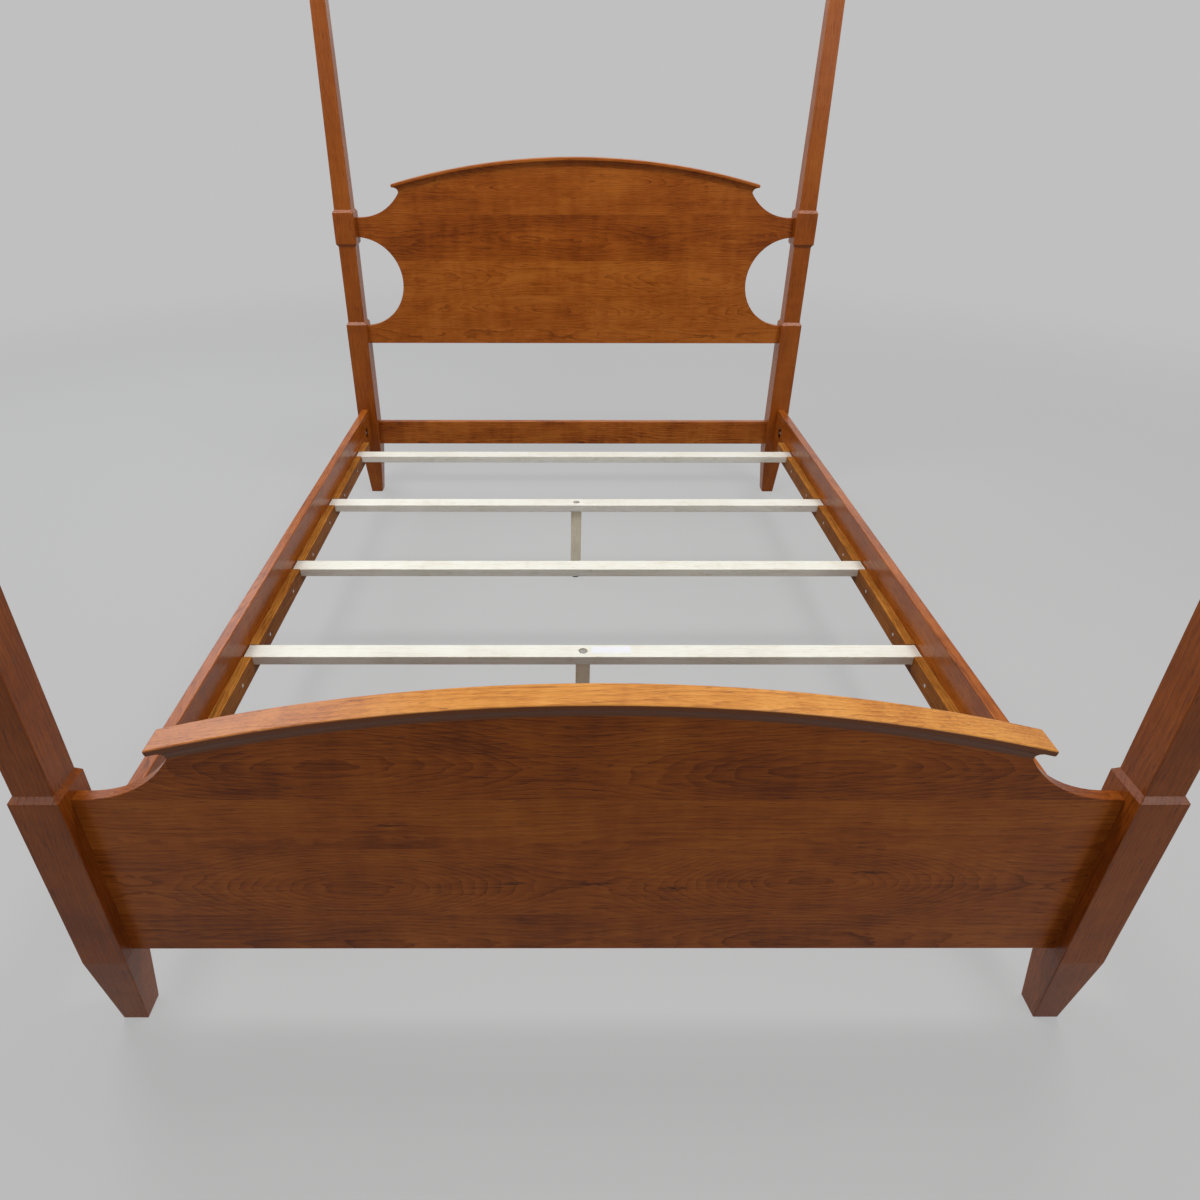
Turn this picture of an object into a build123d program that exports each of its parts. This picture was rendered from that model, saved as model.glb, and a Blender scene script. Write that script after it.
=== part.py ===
from build123d import *
import math
import os

# Four poster bed, queen size, in millimetres, +Z up.
# The origin is on the floor in the middle of the four posts, with the foot of the bed
# towards -Y and the head towards +Y.

# Mattress space and side rails
inside_width = 1537.0  # between the two side rails
rail_length = 2083.0  # between the foot posts and the head posts
rail_top = 341.0
rail_height = 144.0
rail_thickness = 24.0
rail_inset = 17.0  # from a post's outer face to the rail's outer face
rail_edge = 2.0

# Posts
post_side = 70.0
post_edge = 1.5
shoulder_step = 6.5  # how far the slim part's faces lie behind the thick part's
shoulder_rise = 9.0
foot_side = 42.0
foot_taper_height = 170.0
foot_chamfer = 2.0
foot_block_top = 519.0
head_block_top = 651.0
collar_bottom = 920.0
collar_height = 97.0

# Upper posters and their finials
poster_length = 900.0
poster_tip_side = 40.0
finial_overhang = 9.0
finial_flare = 8.0
finial_block = 20.0
finial_bevel = 4.0
finial_point = 26.0
finial_flat = 9.0

# Footboard and headboard panels
panel_thickness = 19.0
panel_edge = 1.0
footboard_bottom = 171.0
headboard_skirt = 69.0  # how far the headboard reaches below the top of the block
window_drop = 8.0  # window's lowest point below the block's top
window_lift = 19.0  # window's highest point above the collar's bottom
scoop_drop = 17.0  # scoop's lowest point below the top of its block or collar
scoop_flat = 15.0
tenon_wall = 10.5  # of wood between a tenon's end and the bed bolt
tenon_thickness = 10.0
tenon_shoulder = 12.0
mortise_clearance = 0.3

# Arched cap rails
cap_end_gap = 129.5  # between the post's inner face and the cap rail's end
cap_end_overhang = 22.0
cap_overhang = 14.0  # beyond each face of the panel
cap_rise = 80.4  # of the arch, over its whole length
cap_crown = 165.0  # crown of the arch above the top of its block or collar
cap_lip = 10.0  # thickness of the flat plate
cap_edge = 3.0
cove_drop = 20.0
cove_end_lip = 5.0  # of flat plate beyond the cove's end

# Headboard's lower cross rail, level with the side rails' lower edges
cross_rail_height = 88.0
cross_rail_thickness = 22.0

# Ledgers and slats
ledger_drop = 76.0  # from the rail's top edge to the ledger's
ledger_height = 47.0
ledger_thickness = 22.0
ledger_end_gap = 139.0  # between the post and the ledger's end
ledger_edge = 1.0
slat_count = 5
slat_end_margin = 110.5  # from the ledger's end to the middle of the last slat
slat_width = 47.0
slat_thickness = 22.0
slat_recess = 1.0  # slat's top below the ledger's top
slat_end_gap = 3.0
slat_edge = 1.5
pocket_clearance = 0.8

# Centre legs, under the second slat from each end
leg_side = 32.0
leg_edge = 1.5
leveler_gap = 18.0  # between the pad and the leg
leveler_travel = 12.0  # how far the leveler screws up from its set height
leveler_hexagon = 5.0  # height of the hexagon that turns the stud
pad_radius = 14.0
pad_height = 8.0
pad_edge = 1.5
pad_floor = 3.0  # of pad under the stud
leveler_thread_up = 34.0  # of thread above the pad
insert_radius = 7.0
insert_length = 16.0
nut_well_gap = 2.5  # round the washer
nut_well_cover = 0.9  # of depth above the nut
leg_bolt_in_leg = 45.0

# Metric hardware shared by the legs and the rail joints
thread_radius = 4.0
thread_chamfer = 0.8
thread_running_gap = 0.05
bolt_hole_gap = 0.4
nut_across_flats = 13.0
nut_height = 6.5
washer_radius = 8.0
washer_thickness = 1.6

# Rail joints
bolt_in_post = 45.0
bolt_past_nut = 4.0
bolt_offset = 1.0  # bolt's axis from the rail's middle, towards the mattress
bolt_pocket_from_end = 65.0
bolt_pocket_width = 26.0
bolt_pocket_height = 48.0
bolt_pocket_gap = 1.0  # behind the washer
rail_dowel_offset = 45.0
rail_dowel_radius = 5.0
rail_dowel_length = 40.0
dowel_gap = 0.1
end_gap = 1.0  # between a dowel, bolt or stud and the bottom of its hole

# Ledger screws
screw_end_margin = 30.0
screw_length = 38.0
screw_radius = 2.0
screw_head_radius = 4.0
screw_head_depth = 3.0
screw_slot_width = 1.0
screw_slot_depth = 1.2

# Hidden dowels and studs
cap_dowel_pitch = 200.0
cap_dowels_each_side = 2
cap_dowel_radius = 4.0
cap_dowel_length = 34.0
stud_radius = 5.0
stud_length = 80.0
stud_insert_radius = 8.0
stud_insert_length = 25.0
finial_dowel_radius = 6.0
finial_dowel_length = 40.0

# Places worked out from the sizes above
half_inside = inside_width / 2
rail_center_x = half_inside + rail_thickness / 2
post_outer_x = half_inside + rail_thickness + rail_inset
post_center_x = post_outer_x - post_side / 2
post_inner_x = post_outer_x - post_side
post_center_y = (rail_length + post_side) / 2
slim_side = post_side - 2 * shoulder_step
collar_top = collar_bottom + collar_height
poster_base = collar_top + shoulder_rise
poster_top = poster_base + poster_length
rail_middle = rail_top - rail_height / 2
cross_rail_top = rail_top - rail_height + cross_rail_height
ledger_top = rail_top - ledger_drop
ledger_length = rail_length - 2 * ledger_end_gap
slat_top = ledger_top - slat_recess
slat_bottom = slat_top - slat_thickness
slat_length = inside_width - 2 * slat_end_gap
slat_pitch = (ledger_length - 2 * slat_end_margin) / (slat_count - 1)
slat_places = [slat_pitch * ((slat_count - 1) / 2 - n) for n in range(slat_count)]
nut_well_radius = washer_radius + nut_well_gap
nut_well_depth = washer_thickness + nut_height + nut_well_cover
leg_bottom = pad_height + leveler_gap
cap_half = post_inner_x - cap_end_gap
cap_depth = panel_thickness + 2 * cap_overhang
cap_radius = (cap_half ** 2 + cap_rise ** 2) / (2 * cap_rise)
panel_tip_x = cap_half - cap_end_overhang
panel_top_radius = cap_radius - cap_lip - cove_drop
cove_reach = cap_overhang - cap_edge
cove_end_reach = cap_end_overhang - cove_end_lip
bolt_x = rail_center_x - bolt_offset
bolt_pocket_depth = bolt_x - half_inside + washer_radius + bolt_pocket_gap
tenon_length = bolt_x - thread_radius - tenon_wall - post_inner_x
pocket_near_y = rail_length / 2 - bolt_pocket_from_end + bolt_pocket_width / 2
washer_face_y = pocket_near_y - washer_thickness
nut_face_y = washer_face_y - nut_height

SIDES = {"left": -1, "right": 1}
ENDS = {"foot": -1, "head": 1}


def square_stack(stations, edge):
    """A square bar whose side changes with height; stations are (height, side) pairs."""
    solid = Part()
    for (low, low_side), (high, high_side) in zip(stations, stations[1:]):
        low_face = Pos(0, 0, low) * RectangleRounded(low_side, low_side, edge)
        if low_side == high_side:
            solid += extrude(low_face, high - low)
        else:
            high_face = Pos(0, 0, high) * RectangleRounded(high_side, high_side, edge)
            solid += loft([low_face, high_face], ruled=True)
    return solid


def rod(start, direction, length, radius, chamfered=0.0):
    """A round rod from its start point along a direction."""
    solid = extrude(Plane(start, z_dir=direction) * Circle(radius), length)
    if chamfered:
        ends = solid.edges().filter_by(GeomType.CIRCLE)
        solid = chamfer(ends, chamfered)
    return solid


def hexagon(base, direction, height):
    """A hexagon with rounded corners, standing on a base point."""
    plane = Plane(base, z_dir=direction)
    corner = nut_across_flats / math.sqrt(3)
    blank = extrude(plane * RegularPolygon(corner, 6), height)
    rounding = extrude(plane * Circle(corner), height)
    return blank & chamfer(rounding.edges().filter_by(GeomType.CIRCLE), thread_chamfer)


def hex_nut(base, direction):
    """A plain hexagon nut with its thread bored out."""
    bore = rod(base, direction, nut_height, thread_radius + thread_running_gap)
    return hexagon(base, direction, nut_height) - bore


def washer(base, direction):
    plane = Plane(base, z_dir=direction)
    ring = Circle(washer_radius) - Circle(thread_radius + bolt_hole_gap)
    return extrude(plane * ring, washer_thickness)


def post_stations(block_top):
    return [
        (0.0, foot_side - 2 * foot_chamfer),
        (foot_chamfer, foot_side),
        (foot_taper_height, post_side),
        (block_top, post_side),
        (block_top + shoulder_rise, slim_side),
        (collar_bottom - shoulder_rise, slim_side),
        (collar_bottom, post_side),
        (collar_top, post_side),
        (poster_base, slim_side),
    ]


def tenon(bottom, top, clearance=0.0):
    """The tongue on a board's right-hand edge, which meets its post from bottom to top."""
    length = tenon_length + clearance
    height = top - bottom - 2 * tenon_shoulder + 2 * clearance
    tongue = Box(length, tenon_thickness + 2 * clearance, height)
    return Pos(post_inner_x + length / 2, 0, (bottom + top) / 2) * tongue


def rail_joint_holes(face_y, direction, bolt_length, bolt_gap):
    """Holes for a bolt and two dowels, going into a face square to Y."""
    inward = (0, direction, 0)
    bolt_start = (bolt_x, face_y, rail_middle)
    holes = rod(bolt_start, inward, bolt_length, thread_radius + bolt_gap)
    depth = rail_dowel_length / 2 + end_gap
    for offset in (-rail_dowel_offset, rail_dowel_offset):
        start = (rail_center_x, face_y, rail_middle + offset)
        holes += rod(start, inward, depth, rail_dowel_radius + dowel_gap)
    return holes


def panel_edges(end):
    """Where a panel meets its post, as (bottom, top) heights."""
    if end == "foot":
        return [(footboard_bottom, foot_block_top - scoop_drop)]
    window_low = head_block_top - window_drop
    window_high = collar_bottom + window_lift
    return [
        (head_block_top - headboard_skirt, window_low),
        (window_high, collar_top - scoop_drop),
    ]


def post(end):
    """A lower post standing at the right-hand side of the foot or the head."""
    block_top = foot_block_top if end == "foot" else head_block_top
    center_y = ENDS[end] * post_center_y
    solid = Pos(post_center_x, center_y, 0) * square_stack(post_stations(block_top), post_edge)
    tenon_edges = panel_edges(end)
    if end == "head":
        tenon_edges.append((cross_rail_top - cross_rail_height, cross_rail_top))
    for bottom, top in tenon_edges:
        solid -= Pos(0, center_y, 0) * tenon(bottom, top, mortise_clearance)
    face_y = ENDS[end] * rail_length / 2
    bolt_room = bolt_in_post + end_gap
    solid -= rail_joint_holes(face_y, ENDS[end], bolt_room, thread_running_gap)
    stud_top = (post_center_x, center_y, poster_base)
    solid -= rod(stud_top, (0, 0, -1), stud_insert_length, stud_insert_radius)
    stud_room = stud_length / 2 + end_gap
    return solid - rod(stud_top, (0, 0, -1), stud_room, stud_radius + dowel_gap)


def poster(end):
    """The tapered upper part of a post, which stands on the collar."""
    stations = [(poster_base, slim_side), (poster_top, poster_tip_side)]
    center_y = ENDS[end] * post_center_y
    solid = Pos(post_center_x, center_y, 0) * square_stack(stations, post_edge)
    stud_room = stud_length / 2 + end_gap
    base = (post_center_x, center_y, poster_base)
    solid -= rod(base, (0, 0, 1), stud_room, stud_radius + dowel_gap)
    dowel_room = finial_dowel_length / 2 + end_gap
    tip = (post_center_x, center_y, poster_top)
    return solid - rod(tip, (0, 0, -1), dowel_room, finial_dowel_radius + dowel_gap)


def finial(end):
    """A square cap with a low pyramid, on the poster's tip."""
    wide = poster_tip_side + 2 * finial_overhang
    flare_top = poster_top + finial_flare
    block_top = flare_top + finial_block
    bevel_top = block_top + finial_bevel
    stations = [
        (poster_top, poster_tip_side),
        (flare_top, wide),
        (block_top, wide),
        (bevel_top, wide - 2 * finial_bevel),
        (bevel_top + finial_point, finial_flat),
    ]
    center_y = ENDS[end] * post_center_y
    solid = Pos(post_center_x, center_y, 0) * square_stack(stations, post_edge)
    dowel_room = finial_dowel_length / 2 + end_gap
    base = (post_center_x, center_y, poster_top)
    return solid - rod(base, (0, 0, 1), dowel_room, finial_dowel_radius + dowel_gap)


def arch_height(radius, crown, x):
    """Height at x of an arc round the arch's centre; the cap rail's top arc peaks at crown."""
    return crown - cap_radius + math.sqrt(radius ** 2 - x ** 2)


def panel_top_curves(crown, base):
    """The panel's top outline, from the right-hand post to the left-hand one."""
    tip_height = arch_height(panel_top_radius, crown, panel_tip_x)
    top_height = arch_height(panel_top_radius, crown, 0)
    flat_x = post_inner_x - scoop_flat
    run = flat_x - panel_tip_x
    climb = tip_height - base
    radius = (run ** 2 + climb ** 2) / (2 * climb)
    half_turn = math.asin(run / radius) / 2
    bend_x = flat_x - radius * math.sin(half_turn)
    bend_z = base + radius * (1 - math.cos(half_turn))
    return [
        Line((post_inner_x, base), (flat_x, base)),
        ThreePointArc((flat_x, base), (bend_x, bend_z), (panel_tip_x, tip_height)),
        ThreePointArc((panel_tip_x, tip_height), (0, top_height), (-panel_tip_x, tip_height)),
        ThreePointArc((-panel_tip_x, tip_height), (-bend_x, bend_z), (-flat_x, base)),
        Line((-flat_x, base), (-post_inner_x, base)),
    ]


def arched_panel(end):
    """A flat panel with scooped top corners, tenons at its edges and, at the head, windows."""
    edges = panel_edges(end)
    bottom = edges[0][0]
    base = edges[-1][1]
    outline = Curve() + panel_top_curves(crown_height(end), base)
    outline += Polyline(
        (-post_inner_x, base),
        (-post_inner_x, bottom),
        (post_inner_x, bottom),
        (post_inner_x, base),
    )
    face = make_face(outline)
    if end == "head":
        low, high = edges[0][1], edges[1][0]
        window = Circle((high - low) / 2)
        for side in SIDES.values():
            face -= Pos(side * (post_inner_x + shoulder_step), (low + high) / 2) * window
    solid = extrude(Plane.XZ * face, panel_thickness / 2, both=True)
    solid = fillet(open_panel_edges(solid), panel_edge)
    for low, high in edges:
        solid += tenon(low, high)
        solid += mirror(tenon(low, high), about=Plane.YZ)
    solid = Pos(0, ENDS[end] * post_center_y, 0) * solid
    return solid - cap_dowels(end, dowel_gap)


def open_panel_edges(panel):
    """The long edges of a panel that show: not those at the posts or under the cap rail."""
    tolerance = panel_edge / 10

    def shows(edge):
        middle = edge.position_at(0.5)
        on_a_face = abs(abs(middle.Y) - panel_thickness / 2) < tolerance
        at_a_post = abs(abs(middle.X) - post_inner_x) < tolerance
        under_cap = abs(middle.X) < tolerance and edge.geom_type == GeomType.CIRCLE
        return on_a_face and not at_a_post and not under_cap

    return panel.edges().filter_by(shows)


def crown_height(end):
    return cap_crown + (foot_block_top if end == "foot" else collar_top)


def cove_arc(start_x, start_z, reach, drop, side):
    """A cove that leaves a wall at its foot and curves out to a lip; side is 1 or -1."""
    radius = (reach ** 2 + drop ** 2) / (2 * reach)
    half_turn = math.asin(drop / radius) / 2
    middle_x = start_x + side * radius * (1 - math.cos(half_turn))
    middle_z = start_z + radius * math.sin(half_turn)
    end = (start_x + side * reach, start_z + drop)
    return ThreePointArc((start_x, start_z), (middle_x, middle_z), end)


def cove_face():
    """The cove's section across the cap rail, from the panel's faces up into the plate."""
    low = panel_top_radius
    wall = panel_thickness / 2
    lip = wall + cove_reach
    outline = Curve() + [
        cove_arc(wall, low, cove_reach, cove_drop, 1),
        cove_arc(-wall, low, cove_reach, cove_drop, -1),
    ]
    inside_plate = low + cove_drop + cap_lip / 2
    outline += Polyline(
        (lip, low + cove_drop), (lip, inside_plate), (-lip, inside_plate), (-lip, low + cove_drop)
    )
    outline += Line((-wall, low), (wall, low))
    return make_face(outline)


def cove_ends(crown):
    """The cove's outline seen from the foot, which rounds off its two ends."""
    tip_height = arch_height(panel_top_radius, crown, panel_tip_x)
    lip_x = panel_tip_x + cove_end_reach
    lip_height = arch_height(cap_radius - cap_lip, crown, lip_x)
    drop = lip_height - tip_height
    outline = Curve() + [
        cove_arc(panel_tip_x, tip_height, cove_end_reach, drop, 1),
        cove_arc(-panel_tip_x, tip_height, cove_end_reach, drop, -1),
    ]
    outline += Polyline(
        (lip_x, lip_height), (lip_x, crown), (-lip_x, crown), (-lip_x, lip_height)
    )
    outline += Line((-panel_tip_x, tip_height), (panel_tip_x, tip_height))
    return make_face(outline)


def cap_rail(end):
    """The arched rail on a panel: a flat plate with a cove under it."""
    crown = crown_height(end)
    arch_axis = Axis((0, 0, 0), (0, 1, 0))
    half_angle = math.degrees(math.asin(cap_half / cap_radius))
    plate_face = Pos(0, cap_radius - cap_lip / 2) * Rectangle(cap_depth, cap_lip)
    plate = revolve(Plane.YZ * plate_face, arch_axis, revolution_arc=2 * half_angle)
    plate = fillet(plate.edges(), cap_edge)
    cove = revolve(Plane.YZ * cove_face(), arch_axis, revolution_arc=2 * half_angle)
    place = Pos(0, 0, crown - cap_radius) * Rot(0, -half_angle, 0)
    cove = place * cove & extrude(Plane.XZ * cove_ends(crown), cap_depth, both=True)
    solid = Pos(0, ENDS[end] * post_center_y, 0) * (place * plate + cove)
    return solid - cap_dowels(end, dowel_gap)


def cap_dowels(end, gap=0.0):
    """The dowels between a panel and its cap rail, or their holes."""
    crown = crown_height(end)
    dowels = Part()
    length = cap_dowel_length + 2 * (end_gap if gap else 0.0)
    for n in range(-cap_dowels_each_side, cap_dowels_each_side + 1):
        x = n * cap_dowel_pitch
        height = arch_height(panel_top_radius, crown, x)
        dowels += Pos(x, ENDS[end] * post_center_y, height) * Cylinder(cap_dowel_radius + gap, length)
    return dowels


def cross_rail():
    """The headboard's lower rail, tenoned into both head posts."""
    section = RectangleRounded(cross_rail_thickness, cross_rail_height, rail_edge)
    bottom = cross_rail_top - cross_rail_height
    solid = extrude(Plane.YZ * section, post_inner_x, both=True)
    solid = Pos(0, 0, (bottom + cross_rail_top) / 2) * solid
    solid += tenon(bottom, cross_rail_top)
    solid += mirror(tenon(bottom, cross_rail_top), about=Plane.YZ)
    return Pos(0, post_center_y, 0) * solid


def side_rail():
    """The right-hand side rail, with a bolt pocket and two dowel holes at each end."""
    section = RectangleRounded(rail_thickness, rail_height, rail_edge)
    solid = extrude(Plane.XZ * section, rail_length / 2, both=True)
    solid = Pos(rail_center_x, 0, rail_middle) * solid
    pocket = Rot(0, 0, 90) * SlotOverall(bolt_pocket_height, bolt_pocket_width)
    pocket = extrude(Plane.YZ * pocket, bolt_pocket_depth)
    for end in ENDS.values():
        face_y = end * rail_length / 2
        pocket_y = face_y - end * bolt_pocket_from_end
        solid -= Pos(half_inside, pocket_y, rail_middle) * pocket
        solid -= rail_joint_holes(face_y, -end, bolt_pocket_from_end, bolt_hole_gap)
    for place in screw_places():
        solid -= place * screw_body(dowel_gap)
    return solid


def ledger():
    """The strip along the right-hand rail, with a pocket for each slat's end."""
    section = RectangleRounded(ledger_thickness, ledger_height, ledger_edge)
    solid = extrude(Plane.XZ * section, ledger_length / 2, both=True)
    center_x = half_inside - ledger_thickness / 2
    solid = Pos(center_x, 0, ledger_top - ledger_height / 2) * solid
    pocket_depth = slat_recess + slat_thickness
    pocket = Box(ledger_thickness, slat_width + 2 * pocket_clearance, pocket_depth)
    for slat_y in slat_places:
        solid -= Pos(center_x, slat_y, ledger_top - pocket_depth / 2) * pocket
    for place in screw_places():
        solid -= place * screw_body(dowel_gap)
    return solid


def screw_places():
    """Where the ledger's screws start: two between each pair of slats and one near each end."""
    last = ledger_length / 2 - screw_end_margin
    places_y = [-last, last]
    for slat_y in slat_places[1:]:
        places_y += [slat_y + slat_pitch / 4, slat_y + 3 * slat_pitch / 4]
    start_x = half_inside - ledger_thickness
    height = ledger_top - ledger_height / 2
    return [Pos(start_x, y, height) * Rot(0, 90, 0) for y in places_y]


def screw_body(gap=0.0):
    """A countersunk wood screw pointing up from the origin, or the hole for it."""
    shank = screw_radius + gap
    outline = Polyline(
        (0, 0),
        (screw_head_radius + gap, 0),
        (shank, screw_head_depth),
        (shank, screw_length - 2 * screw_radius),
        (0, screw_length + gap),
        close=True,
    )
    return revolve(Plane.XZ * make_face(outline), Axis.Z)


def ledger_screws():
    """One ledger's screws, each with a cross in its head."""
    cross = Box(2 * screw_radius, screw_slot_width, 2 * screw_slot_depth)
    cross += Rot(0, 0, 90) * cross
    screw = screw_body() - cross
    screws = Part()
    for place in screw_places():
        screws += place * screw
    return screws


def slat(place_y, has_leg):
    """One slat; a slat with a leg has a well and a hole for the leg's bolt."""
    section = RectangleRounded(slat_width, slat_thickness, slat_edge)
    solid = extrude(Plane.YZ * section, slat_length / 2, both=True)
    solid = Pos(0, place_y, slat_top - slat_thickness / 2) * solid
    if has_leg:
        top = (0, place_y, slat_top)
        solid -= rod(top, (0, 0, -1), nut_well_depth, nut_well_radius)
        solid -= rod(top, (0, 0, -1), slat_thickness, thread_radius + bolt_hole_gap)
    return solid


def leg(place_y):
    """A square centre leg, bored for its bolt above and its leveler below."""
    stations = [(leg_bottom, leg_side), (slat_bottom, leg_side)]
    solid = Pos(0, place_y, 0) * square_stack(stations, leg_edge)
    snug = thread_radius + thread_running_gap
    solid -= rod((0, place_y, slat_bottom), (0, 0, -1), leg_bolt_in_leg, snug)
    bottom = (0, place_y, leg_bottom)
    solid -= rod(bottom, (0, 0, 1), insert_length, insert_radius)
    thread_room = leveler_thread_up - leveler_gap + leveler_travel + end_gap
    return solid - rod(bottom, (0, 0, 1), thread_room, thread_radius + bolt_hole_gap)


def leg_bolt(place_y):
    start_height = slat_bottom - leg_bolt_in_leg
    length = slat_top - end_gap - start_height
    return rod((0, place_y, start_height), (0, 0, 1), length, thread_radius, thread_chamfer)


def leg_insert(place_y):
    bottom = (0, place_y, leg_bottom)
    sleeve = rod(bottom, (0, 0, 1), insert_length, insert_radius)
    return sleeve - rod(bottom, (0, 0, 1), insert_length, thread_radius + thread_running_gap)


def leveler_pad(place_y):
    """A round pad that its stud turns in."""
    pad = rod((0, place_y, 0), (0, 0, 1), pad_height, pad_radius, pad_edge)
    socket_depth = pad_height - pad_floor
    socket_radius = thread_radius + thread_running_gap
    return pad - rod((0, place_y, pad_height), (0, 0, -1), socket_depth, socket_radius)


def leveler_stud(place_y):
    """A threaded stud with a hexagon to turn it by, just above the pad."""
    length = pad_height - pad_floor + leveler_thread_up
    stud = rod((0, place_y, pad_floor), (0, 0, 1), length, thread_radius, thread_chamfer)
    return stud + hexagon((0, place_y, pad_height), (0, 0, 1), leveler_hexagon)


def at_each_rail_joint(make_piece):
    """One solid at each of the four rail joints, from a maker of the right-hand ones."""
    group = Part()
    for end in ENDS.values():
        piece = make_piece(end)
        group += piece
        group += mirror(piece, about=Plane.YZ)
    return group


def bed_bolt(end):
    start = (bolt_x, end * (rail_length / 2 + bolt_in_post), rail_middle)
    length = rail_length / 2 + bolt_in_post - nut_face_y + bolt_past_nut
    return rod(start, (0, -end, 0), length, thread_radius, thread_chamfer)


def bed_bolt_washer(end):
    return washer((bolt_x, end * pocket_near_y, rail_middle), (0, -end, 0))


def bed_bolt_nut(end):
    return hex_nut((bolt_x, end * washer_face_y, rail_middle), (0, -end, 0))


def rail_dowel_pair(end):
    pair = Part()
    for offset in (-rail_dowel_offset, rail_dowel_offset):
        middle_y = end * rail_length / 2
        start = (rail_center_x, middle_y - rail_dowel_length / 2, rail_middle + offset)
        pair += rod(start, (0, 1, 0), rail_dowel_length, rail_dowel_radius, thread_chamfer)
    return pair


def at_each_post(make_piece):
    """One solid in each of the four posts, from a maker of an upright piece at the origin."""
    group = Part()
    piece = make_piece()
    for x in (-post_center_x, post_center_x):
        for y in (-post_center_y, post_center_y):
            group += Pos(x, y, 0) * piece
    return group


def poster_stud():
    start = (0, 0, poster_base - stud_length / 2)
    return rod(start, (0, 0, 1), stud_length, stud_radius, thread_chamfer)


def stud_insert():
    top = (0, 0, poster_base)
    sleeve = rod(top, (0, 0, -1), stud_insert_length, stud_insert_radius)
    return sleeve - rod(top, (0, 0, -1), stud_insert_length, stud_radius + thread_running_gap)


def finial_dowel():
    start = (0, 0, poster_top - finial_dowel_length / 2)
    return rod(start, (0, 0, 1), finial_dowel_length, finial_dowel_radius, thread_chamfer)


def sided(name, solid):
    """The right-hand piece and its mirror image, as two nodes."""
    return {f"{name}_right": solid, f"{name}_left": mirror(solid, about=Plane.YZ)}


def post_nodes():
    nodes = {}
    for end in ENDS:
        nodes |= sided(f"{end}_post", post(end))
        nodes |= sided(f"{end}_poster", poster(end))
        nodes |= sided(f"{end}_finial", finial(end))
    nodes["poster_studs"] = at_each_post(poster_stud)
    nodes["poster_stud_inserts"] = at_each_post(stud_insert)
    nodes["finial_dowels"] = at_each_post(finial_dowel)
    return nodes


def board_nodes():
    nodes = {}
    for end in ENDS:
        nodes[f"{end}board_panel"] = arched_panel(end)
        nodes[f"{end}board_cap_rail"] = cap_rail(end)
        nodes[f"{end}board_cap_dowels"] = cap_dowels(end)
    nodes["headboard_cross_rail"] = cross_rail()
    return nodes


def rail_nodes():
    nodes = sided("side_rail", side_rail())
    nodes |= sided("ledger", ledger())
    nodes |= sided("ledger_screws", ledger_screws())
    nodes["bed_bolts"] = at_each_rail_joint(bed_bolt)
    nodes["bed_bolt_washers"] = at_each_rail_joint(bed_bolt_washer)
    nodes["bed_bolt_nuts"] = at_each_rail_joint(bed_bolt_nut)
    nodes["rail_dowels"] = at_each_rail_joint(rail_dowel_pair)
    return nodes


def slat_nodes():
    """The slats, counted from the head, and what the two legs are made of."""
    nodes = {}
    for number, place_y in enumerate(slat_places, start=1):
        has_leg = number in (2, slat_count - 1)
        nodes[f"slat_{number}"] = slat(place_y, has_leg)
        if not has_leg:
            continue
        well_floor = slat_top - nut_well_depth
        nodes[f"center_leg_{number}"] = leg(place_y)
        nodes[f"leg_bolt_{number}"] = leg_bolt(place_y)
        nodes[f"leg_washer_{number}"] = washer((0, place_y, well_floor), (0, 0, 1))
        nut_base = (0, place_y, well_floor + washer_thickness)
        nodes[f"leg_nut_{number}"] = hex_nut(nut_base, (0, 0, 1))
        nodes[f"leg_insert_{number}"] = leg_insert(place_y)
        nodes[f"leveler_stud_{number}"] = leveler_stud(place_y)
        nodes[f"leveler_pad_{number}"] = leveler_pad(place_y)
    return nodes


def main():
    os.makedirs("parts", exist_ok=True)
    for name, solid in (post_nodes() | board_nodes() | rail_nodes() | slat_nodes()).items():
        export_step(solid, f"parts/{name}.step")


if __name__ == "__main__":
    main()
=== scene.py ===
import math
from dataclasses import dataclass, replace

import bmesh
import bpy
from mathutils import Euler, Matrix, Vector


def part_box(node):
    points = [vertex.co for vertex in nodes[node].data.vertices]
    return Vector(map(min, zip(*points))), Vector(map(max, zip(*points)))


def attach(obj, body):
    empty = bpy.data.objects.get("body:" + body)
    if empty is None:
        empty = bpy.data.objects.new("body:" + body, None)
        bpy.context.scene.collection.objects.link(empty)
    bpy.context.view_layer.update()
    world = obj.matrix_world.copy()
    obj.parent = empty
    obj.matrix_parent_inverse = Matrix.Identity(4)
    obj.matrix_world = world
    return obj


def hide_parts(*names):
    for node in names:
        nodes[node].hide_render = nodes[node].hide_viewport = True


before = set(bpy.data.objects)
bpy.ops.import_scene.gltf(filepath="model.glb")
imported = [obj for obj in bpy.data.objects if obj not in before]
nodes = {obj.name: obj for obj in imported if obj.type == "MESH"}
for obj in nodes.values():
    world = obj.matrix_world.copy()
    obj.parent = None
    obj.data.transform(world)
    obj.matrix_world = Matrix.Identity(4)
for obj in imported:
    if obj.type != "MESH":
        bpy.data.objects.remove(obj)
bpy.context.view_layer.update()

# Four poster bed in red-brown satin cherry, with golden ledgers and pale slats.
# Metres, +Z up, the foot of the bed towards -Y.

scene = bpy.context.scene

SIDES = {"left": -1, "right": 1}
SLAT_NUMBERS = range(1, 6)
LEG_NUMBERS = (2, 4)

# Camera, solved from the photograph
IMAGE_SIDE = 1200.0
SENSOR = 36.0
FOCAL_PIXELS = 815.34
CENTRE_PIXEL = (559.78, 579.44)
CAMERA_PLACE = (-0.0573, -1.9127, 1.3515)
CAMERA_PITCH = -30.64
CAMERA_YAW = 0.15
CAMERA_ROLL = -0.10

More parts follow.
